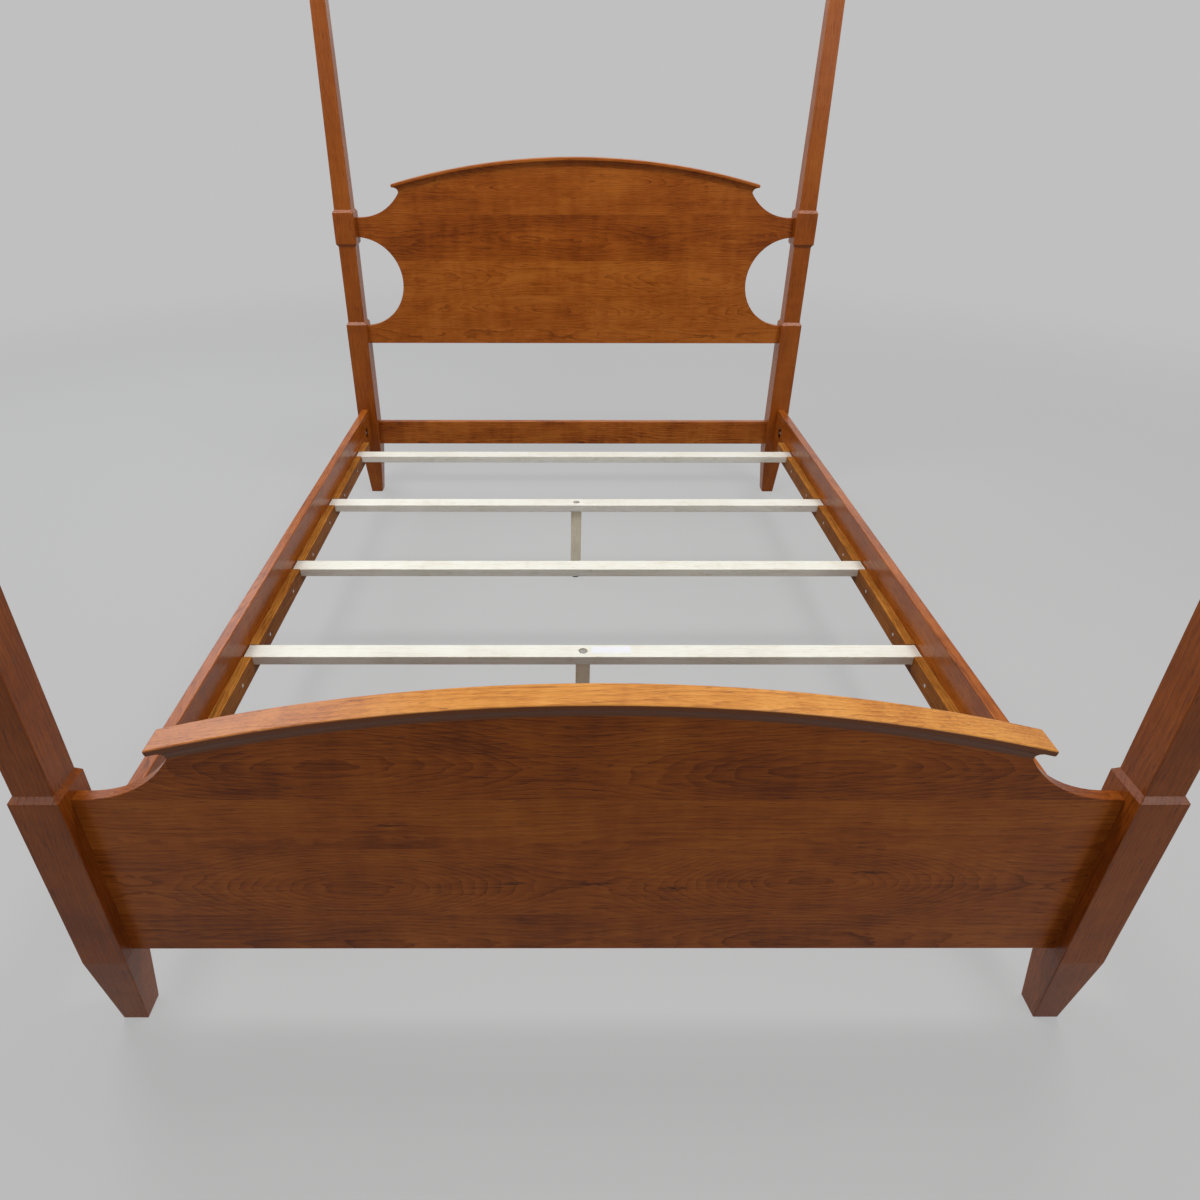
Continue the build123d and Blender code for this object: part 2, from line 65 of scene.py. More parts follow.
# Room: the grey that is seen, and the light that comes from below and from above
BACKGROUND = 0.527
AMBIENT_LOW, AMBIENT_HIGH = 0.06, 0.46
AMBIENT_HIGH_FROM = 0.9

# Floor: its grey as it is seen and as it lights the bed, and how far out it shows shadows
FLOOR_ALBEDO = 0.56
FLOOR_BOUNCE = 0.16
FLOOR_HALF = 40.0
SHADOW_FADE_START, SHADOW_FADE_END = 2.2, 6.0
GLOW_NEAR_BED = 0.72


class Graph:
    """Short calls for building a node tree."""

    def __init__(self, tree):
        self.tree = tree

    def node(self, kind, inputs=None, **settings):
        made = self.tree.nodes.new(kind)
        for name, value in settings.items():
            setattr(made, name, value)
        for socket, value in (inputs or {}).items():
            self.feed(made.inputs[socket], value)
        return made

    def feed(self, socket, value):
        """Links a socket to a node's output, or sets it to a plain value."""
        if isinstance(value, bpy.types.NodeSocket):
            self.tree.links.new(value, socket)
        else:
            socket.default_value = value

    def math(self, operation, *values):
        made = self.node("ShaderNodeMath", operation=operation)
        for socket, value in zip(made.inputs, values):
            self.feed(socket, value)
        return made.outputs[0]

    def product(self, first, second):
        return self.math("MULTIPLY", first, second)

    def sum(self, *terms):
        total = terms[0]
        for term in terms[1:]:
            total = self.math("ADD", total, term)
        return total

    def wave(self, value, share):
        """A noise value centred on 0 and scaled by its share."""
        return self.product(self.math("SUBTRACT", value, 0.5), share)

    def vector(self, operation, *values):
        made = self.node("ShaderNodeVectorMath", operation=operation)
        for socket, value in zip(made.inputs, values):
            self.feed(socket, value)
        return made.outputs["Value" if operation in ("LENGTH", "DOT_PRODUCT") else "Vector"]

    def scaled(self, vector, size):
        made = self.node("ShaderNodeVectorMath", {0: vector, "Scale": size}, operation="SCALE")
        return made.outputs["Vector"]

    def parts(self, vector):
        """The X, Y and Z of a vector."""
        return self.node("ShaderNodeSeparateXYZ", {0: vector}).outputs

    def grey(self, level):
        return self.node("ShaderNodeCombineXYZ", {0: level, 1: level, 2: level}).outputs[0]

    def place(self):
        """The point on the surface, in the object's own frame."""
        return self.node("ShaderNodeTexCoord").outputs["Object"]

    def facing(self, axis):
        """How far the surface faces along an axis: 1 straight along it, -1 straight against."""
        normal = self.node("ShaderNodeNewGeometry").outputs["Normal"]
        return self.parts(normal)[axis]

    def seen(self):
        """1 for what the camera sees, also in a reflection or through glass, else 0."""
        path = self.node("ShaderNodeLightPath").outputs
        other = self.math("MAXIMUM", path["Is Glossy Ray"], path["Is Transmission Ray"])
        return self.math("MAXIMUM", path["Is Camera Ray"], other)

    def noise(self, place, stretch, detail=2.0, roughness=0.5, color=False):
        """Noise whose cells are 1 / stretch metres long on each axis."""
        scaled = self.vector("MULTIPLY", place, stretch)
        made = self.node(
            "ShaderNodeTexNoise",
            {"Vector": scaled, "Scale": 1.0, "Detail": detail, "Roughness": roughness},
        )
        return made.outputs["Color" if color else "Fac"]

    def step(self, value, start, end):
        """0 at the start and before it, 1 at the end and past it, smooth between."""
        made = self.node(
            "ShaderNodeMapRange",
            {"Value": value, "From Min": start, "From Max": end},
            interpolation_type="SMOOTHSTEP",
        )
        return made.outputs["Result"]

    def spread(self, value, low, high, new_low=0.0, new_high=1.0):
        """A value between low and high, moved to lie between the new low and high."""
        made = self.node(
            "ShaderNodeMapRange",
            {"Value": value, "From Min": low, "From Max": high,
             "To Min": new_low, "To Max": new_high},
        )
        return made.outputs["Result"]

    def mix(self, share, first, second, blend="MIX"):
        made = self.node("ShaderNodeMix", data_type="RGBA", blend_type=blend)
        for socket, value in ((0, share), (6, first), (7, second)):
            self.feed(made.inputs[socket], value)
        return made.outputs[2]

    def bump(self, height, strength, distance):
        made = self.node("ShaderNodeBump", {"Height": height, "Strength": strength,
                                            "Distance": distance})
        return made.outputs[0]


def srgb(red, green, blue):
    """A colour written in 0-255 screen values, as Blender's linear colour."""

    def linear(value):
        share = value / 255.0
        return share / 12.92 if share <= 0.04045 else ((share + 0.055) / 1.055) ** 2.4

    return (linear(red), linear(green), linear(blue), 1.0)


def new_material(name):
    material = bpy.data.materials.new(name)
    material.use_nodes = True
    material.node_tree.nodes.clear()
    return material, Graph(material.node_tree)


def finish_material(material, graph, shader):
    output = graph.node("ShaderNodeOutputMaterial")
    material.node_tree.links.new(shader.outputs[0], output.inputs["Surface"])
    return material


@dataclass
class GrainNoise:
    """Noise in wood: cells per metre along and across the grain, and how fine it is."""

    along: float
    across: float
    detail: float
    roughness: float

    def at(self, graph, place, color=False):
        stretch = (self.along, self.across, self.across)
        return graph.noise(place, stretch, self.detail, self.roughness, color)


DRIFT = GrainNoise(1.9, 0.5, 1.0, 0.4)
WOBBLE = GrainNoise(6, 26, 3.0, 0.55)
RIPPLE = GrainNoise(22, 70, 2.0, 0.5)
SWELL = GrainNoise(1.5, 9, 2.0, 0.5)
BREAKS = GrainNoise(9, 60, 2.0, 0.5)
STREAK = GrainNoise(6, 170, 4.0, 0.62)
CLOUD = GrainNoise(5.5, 13, 3.0, 0.5)
CURL = GrainNoise(34, 6, 2.0, 0.5)
FIBRE = GrainNoise(26, 700, 3.0, 0.65)
FLECK = GrainNoise(34, 300, 1.0, 0.4)
EDGE_PATCH = GrainNoise(30, 60, 3.0, 0.5)

# How many rings each noise shifts the growth rings by, and how much each changes the tone
RING_SHIFTS = ((WOBBLE, 1.7), (RIPPLE, 0.8), (SWELL, 3.6))
TONE_SHARES = ((STREAK, 0.48), (CLOUD, 0.72), (CURL, 0.28))
FIBRE_TONE = 0.85
RING_TONE = 0.16

# Late wood: the share of a ring's width where its dark line starts and where it is darkest,
# what is left of the line where it breaks, and its strength in the faintest and boldest year
LATE_START, LATE_PEAK = 0.72, 0.95
BREAK_START, BREAK_END = 0.36, 0.62
BROKEN_LINE = 0.25
FAINT_YEAR, BOLD_YEAR = 0.12, 1.3

# Gum flecks show where their noise passes from the first value to the second
FLECK_START, FLECK_END = 0.655, 0.74

# How one seed moves the noise on each axis
SEED_SHIFT = (3.17, 1.31, 2.23)


def declare_grain_sockets(tree):
    for name, kind, default in (
        ("Place", "NodeSocketVector", (0, 0, 0)),
        ("Seed", "NodeSocketFloat", 0.0),
        ("Heart", "NodeSocketVector", (0, 0, 0)),
        ("Ring Width", "NodeSocketFloat", 0.008),
        ("Wander", "NodeSocketFloat", 0.05),
        ("Figure Middle", "NodeSocketFloat", 0.0),
        ("Figure Length", "NodeSocketFloat", 0.7),
        ("Figure Depth", "NodeSocketFloat", 0.0),
    ):
        socket = tree.interface.new_socket(name, in_out="INPUT", socket_type=kind)
        socket.default_value = default
    for name in ("Rings", "Tone", "Fibre", "Flecks"):
        tree.interface.new_socket(name, in_out="OUTPUT", socket_type="NodeSocketFloat")


def count_rings(graph, given, place):
    """How many growth rings lie between the heart of the tree and the point."""
    drift = graph.vector("SUBTRACT", DRIFT.at(graph, place, color=True), (0.5, 0.5, 0.5))
    swing = graph.scaled(drift, given["Wander"])
    along = graph.parts(given["Place"])[0]
    from_figure = graph.math("SUBTRACT", along, given["Figure Middle"])
    turn = graph.math("DIVIDE", from_figure, given["Figure Length"])
    dip = graph.product(graph.math("COSINE", graph.product(turn, math.tau)),
                        given["Figure Depth"])
    bend = graph.node("ShaderNodeCombineXYZ", {2: dip}).outputs[0]
    across = graph.vector("SUBTRACT", graph.vector("ADD", given["Place"], bend), given["Heart"])
    across = graph.vector("ADD", across, swing)
    radius = graph.vector("LENGTH", graph.vector("MULTIPLY", across, (0, 1, 1)))
    shifts = [graph.wave(noise.at(graph, place), share) for noise, share in RING_SHIFTS]
    return graph.sum(graph.math("DIVIDE", radius, given["Ring Width"]), *shifts)


def ring_line(graph, place, phase, year):
    """The dark line that ends each ring, bolder in some years and broken in places."""
    rise = graph.step(phase, LATE_START, LATE_PEAK)
    fall = graph.step(phase, 1.0, LATE_PEAK)
    line = graph.product(rise, fall)
    whole = graph.step(BREAKS.at(graph, place), BREAK_START, BREAK_END)
    line = graph.product(line, graph.spread(whole, 0, 1, BROKEN_LINE, 1.0))
    draw = graph.node("ShaderNodeTexWhiteNoise", {"W": year}, noise_dimensions="1D")
    strength = graph.spread(draw.outputs["Value"], 0.3, 1, FAINT_YEAR, BOLD_YEAR)
    return graph.product(line, strength)


def grain_group():
    """Growth rings, streaks, fibres and clouding of a board whose grain runs along X."""
    tree = bpy.data.node_groups.new("grain", "ShaderNodeTree")
    declare_grain_sockets(tree)
    graph = Graph(tree)
    given = graph.node("NodeGroupInput").outputs
    shift = graph.scaled(SEED_SHIFT, given["Seed"])
    place = graph.vector("ADD", given["Place"], shift)

    rings = count_rings(graph, given, place)
    phase = graph.math("FRACT", rings)
    line = ring_line(graph, place, phase, graph.math("FLOOR", rings))

    waves = [graph.wave(noise.at(graph, place), share) for noise, share in TONE_SHARES]
    fibre = FIBRE.at(graph, place)
    early = graph.product(graph.math("SUBTRACT", 0.5, phase), RING_TONE)
    tone = graph.sum(0.5, *waves, graph.wave(fibre, FIBRE_TONE), early)
    flecks = graph.step(FLECK.at(graph, place), FLECK_START, FLECK_END)

    result = graph.node("NodeGroupOutput")
    for name, value in (("Rings", line), ("Tone", tone), ("Fibre", fibre), ("Flecks", flecks)):
        graph.feed(result.inputs[name], value)
    return tree


GRAIN = grain_group()

# Which way the grain runs: the object's axes along the grain and the two across it
ALONG = {"x": (0, 1, 2), "upright board": (0, 2, 1), "y": (1, 2, 0), "z": (2, 0, 1)}


def grain_place(graph, run):
    """The point on the surface turned so that the grain runs along X, and its X, Y and Z."""
    parts = graph.parts(graph.place())
    turned = graph.node("ShaderNodeCombineXYZ")
    for socket, axis in zip(turned.inputs, ALONG[run]):
        graph.feed(socket, parts[axis])
    return turned.outputs[0], parts


def edge_mask(graph, width):
    """1 on sharp edges and 0 on flat faces."""
    rounded = graph.node("ShaderNodeBevel", {"Radius": width}, samples=4).outputs[0]
    true_normal = graph.node("ShaderNodeNewGeometry").outputs["Normal"]
    facing = graph.vector("DOT_PRODUCT", rounded, true_normal)
    return graph.step(facing, 0.995, 0.80)


def stepped(graph, height, seams, values):
    """A value that changes at each glue line."""
    total = values[0]
    for seam, before, after in zip(seams, values, values[1:]):
        above = graph.math("GREATER_THAN", height, seam)
        total = graph.math("MULTIPLY_ADD", above, after - before, total)
    return total


@dataclass
class Wood:
    """What a kind of wood looks like."""

    light: tuple
    middle: tuple
    dark: tuple
    line: tuple
    edge: tuple
    rings: float
    rough: float
    specular: float


CHERRY = Wood(
    light=srgb(186, 106, 38), middle=srgb(161, 83, 23), dark=srgb(118, 54, 12),
    line=srgb(60, 24, 6), rings=0.38, rough=0.30,
    edge=srgb(196, 122, 60), specular=0.17,
)
RAIL_CHERRY = replace(CHERRY, rough=0.23, specular=0.26)
POST_CHERRY = replace(CHERRY, rough=0.26, specular=0.21)
# Golden cherry of the footboard's cap rail: partly a lighter board, partly painted light that
# lightens the base colour for the overhead lamps' light and sheen on its top
GOLDEN_LIT_CHERRY = Wood(
    light=srgb(236, 168, 84), middle=srgb(216, 142, 58), dark=srgb(172, 98, 34),
    line=srgb(104, 52, 16), rings=0.34, rough=0.30,
    edge=srgb(206, 132, 70), specular=0.30,
)
LEDGER_CHERRY = Wood(
    light=srgb(176, 112, 46), middle=srgb(146, 84, 30), dark=srgb(98, 52, 18),
    line=srgb(52, 24, 8), rings=0.38, rough=0.5,
    edge=srgb(214, 150, 84), specular=0.06,
)
POPLAR = Wood(
    light=srgb(249, 249, 241), middle=srgb(244, 243, 231), dark=srgb(229, 226, 209),
    line=srgb(204, 196, 168), rings=0.25, rough=0.45,
    edge=srgb(250, 249, 244), specular=0.3,
)
LEG_POPLAR = Wood(
    light=srgb(255, 247, 226), middle=srgb(251, 241, 216), dark=srgb(238, 224, 192),
    line=srgb(206, 190, 152), rings=0.25, rough=0.45,
    edge=srgb(250, 246, 232), specular=0.2,
)

# Where a wood's dark and light colours stand on the scale of tones
DARK_TONE, LIGHT_TONE = 0.22, 0.80
FLECK_SHARE = 0.45
END_GRAIN_SHARE = 0.45
WORN_AND_LIT_EDGE_WIDTH = 0.0025
PORE_DEPTH = 0.00025


def wood_color(graph, wood, grain, tint, contrast):
    """Colour from the grain's tone, with ring lines and gum flecks darker."""
    tone = graph.sum(0.5, graph.wave(grain["Tone"], contrast), tint)
    ramp = graph.node("ShaderNodeValToRGB", {"Fac": tone})
    stops = ramp.color_ramp.elements
    stops[0].position, stops[0].color = DARK_TONE, wood.dark
    stops[1].position, stops[1].color = LIGHT_TONE, wood.light
    middle = stops.new(0.5)
    middle.color = wood.middle
    color = graph.mix(graph.product(grain["Rings"], wood.rings * contrast),
                      ramp.outputs["Color"], wood.line)
    return graph.mix(graph.product(grain["Flecks"], FLECK_SHARE), color, wood.line)


def wood_shader(graph, wood, color, grain):
    """Satin finish, rougher on the fibres and ring lines, with rings and flecks sunk in."""
    rough = graph.sum(wood.rough, graph.wave(grain["Fibre"], 0.16),
                      graph.product(grain["Rings"], 0.10))
    height = graph.sum(grain["Fibre"], graph.product(grain["Rings"], -0.6),
                       graph.product(grain["Flecks"], -1.0))
    return graph.node("ShaderNodeBsdfPrincipled", {
        "Base Color": color, "Roughness": rough,
        "Normal": graph.bump(height, 0.35, PORE_DEPTH),
        "Specular IOR Level": wood.specular,
    })


@dataclass
class Strip:
    """One of the boards that are glued edge to edge into an upright panel."""

    top: float
    seed: float
    tint: float
    heart: tuple
    figure_depth: float


def strip_grain(graph, height, strips):
    """What the grain of a glued panel is at a height: seed, tint, heart and figure depth."""
    seams = [strip.top for strip in strips[:-1]]

    def by_height(values):
        return stepped(graph, height, seams, values)

    rise = by_height([strip.heart[0] for strip in strips])
    depth = by_height([strip.heart[1] for strip in strips])
    heart = graph.node("ShaderNodeCombineXYZ", {1: rise, 2: depth}).outputs[0]
    return (by_height([strip.seed for strip in strips]),
            by_height([strip.tint for strip in strips]), heart,
            by_height([strip.figure_depth for strip in strips]))


def wear_and_highlight_color(graph, wood, color, place, run, wear_and_highlight):
    """Darker end grain, and edges lighter here and there: partly rubbed wear, partly a painted
    highlight along the arrises.
    """
    facing = graph.facing(ALONG[run][0])
    end_grain = graph.step(graph.math("ABSOLUTE", facing), 0.75, 0.97)
    color = graph.mix(graph.product(end_grain, END_GRAIN_SHARE), color, wood.line)
    patchy = graph.spread(EDGE_PATCH.at(graph, place), 0.35, 0.65, 0.3, 1.0)
    # Painted highlight: the lighter edges partly stand in for light caught on the rounded
    # arrises
    worn_and_lit = graph.product(edge_mask(graph, WORN_AND_LIT_EDGE_WIDTH), patchy)
    return graph.mix(graph.product(worn_and_lit, wear_and_highlight), color, wood.edge)


def board(name, wood, run, seed=0.0, heart=(0, 0.03, 0.05), ring_width=0.006, wander=0.09,
          tint=0.0, wear_and_highlight=0.28, contrast=1.0, painted=None, strips=(),
          figure_middle=0.0, figure_length=0.7):
    """A finished wood material for one board, or for boards glued edge to edge."""
    material, graph = new_material(name)
    place, parts = grain_place(graph, run)
    figure_depth = 0.0
    if strips:
        seed, tint, heart, figure_depth = strip_grain(graph, parts[2], strips)
    grain = graph.node("ShaderNodeGroup", {
        "Place": place, "Seed": seed, "Heart": heart,
        "Ring Width": ring_width, "Wander": wander, "Figure Middle": figure_middle,
        "Figure Length": figure_length, "Figure Depth": figure_depth,
    }, node_tree=GRAIN).outputs
    color = wood_color(graph, wood, grain, tint, contrast)
    if painted:
        color = painted(graph, color, parts)
    color = wear_and_highlight_color(graph, wood, color, place, run, wear_and_highlight)
    return finish_material(material, graph, wood_shader(graph, wood, color, grain))


def dress(node, material):
    """Gives a CAD node its material."""
    slots = nodes[node].data.materials
    slots.clear()
    slots.append(material)


def node_middle(node):
    low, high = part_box(node)
    return (low + high) / 2


# Lightness of each part of a post, and the painted shade that darkens the thick foot posts
POST_TINTS = (("post", -0.02), ("poster", 0.02), ("finial", 0.06))
FOOT_POST_PAINTED_SHADE = 0.10
POST_CONTRAST = 0.6
POST_HEART_X, POST_HEART_Y = 0.055, -0.06
FIRST_POST_SEED, POST_SEED_STEP = 11.0, 3.7


def dress_posts():
    seed = FIRST_POST_SEED
    for end in ("foot", "head"):
        for side in SIDES:
            middle = node_middle(f"{end}_post_{side}")
            heart = (0, middle.x + POST_HEART_X, middle.y + POST_HEART_Y)
            for piece, tint in POST_TINTS:
                # Painted shade: the foot posts are darkened for the weaker light at the foot of
                # the bed
                if end == "foot" and piece == "post":
                    tint -= FOOT_POST_PAINTED_SHADE
                name = f"{end}_{piece}_{side}"
                dress(name, board(f"wood_{name}", POST_CHERRY, "z", seed, heart=heart,
                                  wander=0.05, tint=tint, contrast=POST_CONTRAST))
                seed += POST_SEED_STEP


# Colour of the footboard's cap rail: the stain that reddens its left part, and painted shade on
# its upright faces
RED_STAIN = (0.74, 0.58, 0.60, 1.0)
RED_FROM_X, RED_TO_X = -0.05, -0.6
UPRIGHT_PAINTED_SHADE = srgb(116, 62, 22)


def cap_stain_and_painted_shade(graph, color, parts):
    """Redder to the left, golden from the middle on, and painted shade darkening the upright
    faces.
    """
    redder = graph.mix(1.0, color, RED_STAIN, blend="MULTIPLY")
    color = graph.mix(graph.step(parts[0], RED_FROM_X, RED_TO_X), color, redder)
    # Painted shade: faces that don't face up are darkened as if shaded by the cap's top edge
    return graph.mix(graph.step(graph.facing(2), 0.75, 0.35), color, UPRIGHT_PAINTED_SHADE)


# Short dark mineral streaks in the footboard: place along the board and height
STREAKS = ((-0.125, 0.327), (-0.001, 0.326), (0.118, 0.316), (-0.30, 0.452), (0.41, 0.352))
STREAK_HALF_LONG, STREAK_HALF_HIGH = 0.030, 0.0042
STREAK_SHARE = 0.85


def mineral_streaks(graph, color, parts):
    """Paints the streaks as flat ovals with ragged edges."""
    ragged = graph.noise(graph.place(), (90, 90, 380), 3.0, 0.6)
    for x, z in STREAKS:
        along = graph.math("DIVIDE", graph.math("SUBTRACT", parts[0], x), STREAK_HALF_LONG)
        across = graph.math("DIVIDE", graph.math("SUBTRACT", parts[2], z), STREAK_HALF_HIGH)
        away = graph.sum(graph.product(along, along), graph.product(across, across))
        spot = graph.step(graph.sum(away, graph.wave(ragged, 3.2)), 1.0, -0.3)
        color = graph.mix(graph.product(spot, STREAK_SHARE), color, CHERRY.line)
    return color


# The boards of the two panels from the bottom up. A heart is the height and the place along Y
# of the middle of the tree.
FOOTBOARD_STRIPS = (
    Strip(top=0.255, seed=3.1, tint=-0.04, heart=(0.19, -1.00), figure_depth=0.006),
    Strip(top=0.403, seed=7.9, tint=0.0, heart=(0.320, -1.020), figure_depth=0.028),
    Strip(top=0.502, seed=13.3, tint=0.03, heart=(0.40, -0.98), figure_depth=0.004),
    Strip(top=math.inf, seed=21.7, tint=-0.05, heart=(0.565, -1.035), figure_depth=0.016),
)
# The headboard's boards are tinted lighter partly as painted light, for the stronger light that
# falls on the headboard
HEADBOARD_STRIPS = (
    Strip(top=0.634, seed=5.2, tint=0.17, heart=(0.60, 1.0), figure_depth=0.0),
    Strip(top=0.748, seed=31.4, tint=0.10, heart=(0.70, 1.04), figure_depth=0.02),
    Strip(top=0.863, seed=17.6, tint=0.12, heart=(0.80, 1.14), figure_depth=0.02),
    Strip(top=1.010, seed=25.1, tint=-0.05, heart=(0.93, 1.0), figure_depth=0.0),
    Strip(top=math.inf, seed=40.2, tint=0.04, heart=(1.1, 1.05), figure_depth=0.01),
)


def dress_boards():
    dress("footboard_panel", board(
        "wood_footboard_panel", CHERRY, "upright board", strips=FOOTBOARD_STRIPS,
        ring_width=0.0048, wander=0.045, figure_middle=-0.362, figure_length=0.69,
        painted=mineral_streaks))
    dress("headboard_panel", board(
        "wood_headboard_panel", CHERRY, "upright board", strips=HEADBOARD_STRIPS,
        ring_width=0.005, wander=0.06, figure_middle=0.40, figure_length=0.9))
    dress("footboard_cap_rail", board(
        "wood_footboard_cap_rail", GOLDEN_LIT_CHERRY, "x", seed=51.0, heart=(0, -1.12, 0.60),
        wander=0.06, painted=cap_stain_and_painted_shade))
    dress("headboard_cap_rail", board(
        "wood_headboard_cap_rail", CHERRY, "x", seed=57.0, heart=(0, 1.04, 1.10),
        wander=0.06, tint=0.10))
    dress("headboard_cross_rail", board(
        "wood_headboard_cross_rail", CHERRY, "upright board", seed=61.0,
        heart=(0, 0.20, 1.04), wander=0.06, tint=0.06, contrast=1.6))


TOP_GOLD_TINT = (1.6, 1.9, 2.1, 1.0)
BARE_WOOD = srgb(216, 176, 118)
BARE_SHARE = 0.85


def golden_top(graph, color, parts):
    """Top faces lighter in a golden tone, and bare wood in the slat notches."""
    gold = graph.mix(1.0, color, TOP_GOLD_TINT, blend="MULTIPLY")
    bare = graph.mix(BARE_SHARE, color, BARE_WOOD)
    color = graph.mix(graph.step(graph.facing(2), 0.5, 0.9), color, gold)
    along_rail = graph.math("ABSOLUTE", graph.facing(1))
    return graph.mix(graph.step(along_rail, 0.8, 0.95), color, bare)


# Painted shade in the side rails' bolt pockets: the pockets' middle, half sizes of the shaded
# part of their walls, and the two faces of a rail with the strip left clear behind them
POCKET_Y, POCKET_Z = 0.9765, 0.269
SHADE_HALF_Y, SHADE_HALF_Z = 0.0245, 0.0135
RAIL_INNER, RAIL_OUTER = 0.7685, 0.7925
SHADE_FROM_FACE = 0.001
POCKET_PAINTED_SHADE = srgb(38, 20, 10)


def painted_pocket_shade(graph, color, parts):
    """Paints shade on the walls of the bolt pockets, nearly black around the bolts' height."""
    out = graph.math("ABSOLUTE", parts[0])
    inside = graph.product(
        graph.math("GREATER_THAN", out, RAIL_INNER + SHADE_FROM_FACE),
        graph.math("LESS_THAN", out, RAIL_OUTER - SHADE_FROM_FACE))
    for value, middle, half in ((parts[1], POCKET_Y, SHADE_HALF_Y),
                                (parts[2], POCKET_Z, SHADE_HALF_Z)):
        from_middle = graph.math("SUBTRACT", graph.math("ABSOLUTE", value), middle)
        away = graph.math("ABSOLUTE", from_middle)
        inside = graph.product(inside, graph.math("LESS_THAN", away, half))
    # Painted shade: the pocket walls are darkened where shade falls inside the recess
    return graph.mix(inside, color, POCKET_PAINTED_SHADE)


FIRST_RAIL_SEED, RAIL_SEED_STEP, LEDGER_SEED_STEP = 71.0, 11.9, 4.3
RAIL_HEART_X, RAIL_HEART_Z = 0.83, 0.24
LEDGER_HEART_X, LEDGER_HEART_Z = 0.70, 0.20


def dress_rails():
    seed = FIRST_RAIL_SEED
    for side, sign in SIDES.items():
        dress(f"side_rail_{side}", board(
            f"wood_side_rail_{side}", RAIL_CHERRY, "y", seed,
            heart=(0, RAIL_HEART_Z, sign * RAIL_HEART_X),
            wander=0.06, tint=0.02, painted=painted_pocket_shade))
        dress(f"ledger_{side}", board(
            f"wood_ledger_{side}", LEDGER_CHERRY, "y", seed + LEDGER_SEED_STEP,
            heart=(0, LEDGER_HEART_Z, sign * LEDGER_HEART_X),
            wander=0.05, tint=0.04, painted=golden_top))
        seed += RAIL_SEED_STEP


FIRST_SLAT_SEED, FIRST_LEG_SEED, SLAT_SEED_STEP = 90.0, 130.0, 7.3
POPLAR_WEAR_AND_HIGHLIGHT = 0.2


def dress_slats():
    for number in SLAT_NUMBERS:
        dress(f"slat_{number}", board(
            f"wood_slat_{number}", POPLAR, "x", FIRST_SLAT_SEED + SLAT_SEED_STEP * number,
            heart=(0, 0.10 * number - 0.2, 0.18), ring_width=0.007, wander=0.05,
            wear_and_highlight=POPLAR_WEAR_AND_HIGHLIGHT))
    for number in LEG_NUMBERS:
        dress(f"center_leg_{number}", board(
            f"wood_center_leg_{number}", LEG_POPLAR, "z",
            FIRST_LEG_SEED + SLAT_SEED_STEP * number, wander=0.03, wear_and_highlight=POPLAR_WEAR_AND_HIGHLIGHT))


def metal(name, color, rough):
    """Plated metal with faint clouding and fine tool lines."""
    material, graph = new_material(name)
    place = graph.place()
    cloud = graph.noise(place, (180, 180, 180), 3.0, 0.55)
    lines = graph.noise(place, (900, 900, 2600), 2.0, 0.5)
    level = graph.spread(graph.sum(cloud, graph.wave(lines, 0.4)), 0.3, 0.8, 0.88, 1.0)
    clouded = graph.mix(1.0, color, graph.grey(level), blend="MULTIPLY")
    shader = graph.node("ShaderNodeBsdfPrincipled", {
        "Base Color": clouded, "Metallic": 1.0, "Normal": graph.bump(lines, 0.2, 0.0001),
        "Roughness": graph.spread(cloud, 0.3, 0.7, rough * 0.8, rough * 1.25),
    })
    return finish_material(material, graph, shader)


def moulded_nylon():
    """Black moulded nylon with a fine spark-eroded texture."""
    material, graph = new_material("black_nylon")
    place = graph.place()
    pebble = graph.noise(place, (2200, 2200, 2200), 2.0, 0.5)
    scuffs = graph.step(graph.noise(place, (160, 160, 160), 4.0, 0.6), 0.55, 0.75)
    color = graph.mix(scuffs, (0.018, 0.018, 0.02, 1.0), (0.05, 0.05, 0.052, 1.0))
    shader = graph.node("ShaderNodeBsdfPrincipled", {
        "Base Color": color, "Normal": graph.bump(pebble, 0.4, 0.0002),
        "Roughness": graph.spread(scuffs, 0, 1, 0.42, 0.62),
    })
    return finish_material(material, graph, shader)


def dress_hardware():
    zinc = metal("zinc", (0.72, 0.72, 0.70, 1.0), rough=0.30)
    brass = metal("brass_insert", (0.62, 0.44, 0.19, 1.0), rough=0.36)
    for node in ("bed_bolts", "bed_bolt_washers", "bed_bolt_nuts", "poster_studs",
                 "ledger_screws_left", "ledger_screws_right"):
        dress(node, zinc)
    dress("poster_stud_inserts", brass)
    nylon = moulded_nylon()
    for number in LEG_NUMBERS:
        for piece in ("leg_bolt", "leg_washer", "leg_nut"):
            dress(f"{piece}_{number}", zinc)
        dress(f"leg_insert_{number}", brass)
        dress(f"leveler_pad_{number}", nylon)
        add_leveler_stud(number, zinc)
    dowel = board("wood_dowels", POPLAR, "z", seed=170.0, ring_width=0.003, wander=0.01,
                  tint=-0.2)
    for node in ("rail_dowels", "finial_dowels", "footboard_cap_dowels",
                 "headboard_cap_dowels"):
        dress(node, dowel)


def stage_floor():
    """A pale floor as wide as the view, which keeps the bed's soft shadow."""
    mesh = bpy.data.meshes.new("floor")
    made = bmesh.new()
    corners = [made.verts.new((x * FLOOR_HALF, y * FLOOR_HALF, 0.0))
               for x, y in ((-1, -1), (1, -1), (1, 1), (-1, 1))]
    made.faces.new(corners)
    made.to_mesh(mesh)
    made.free()
    floor = bpy.data.objects.new("floor", mesh)
    scene.collection.objects.link(floor)
    mesh.materials.append(floor_paint())


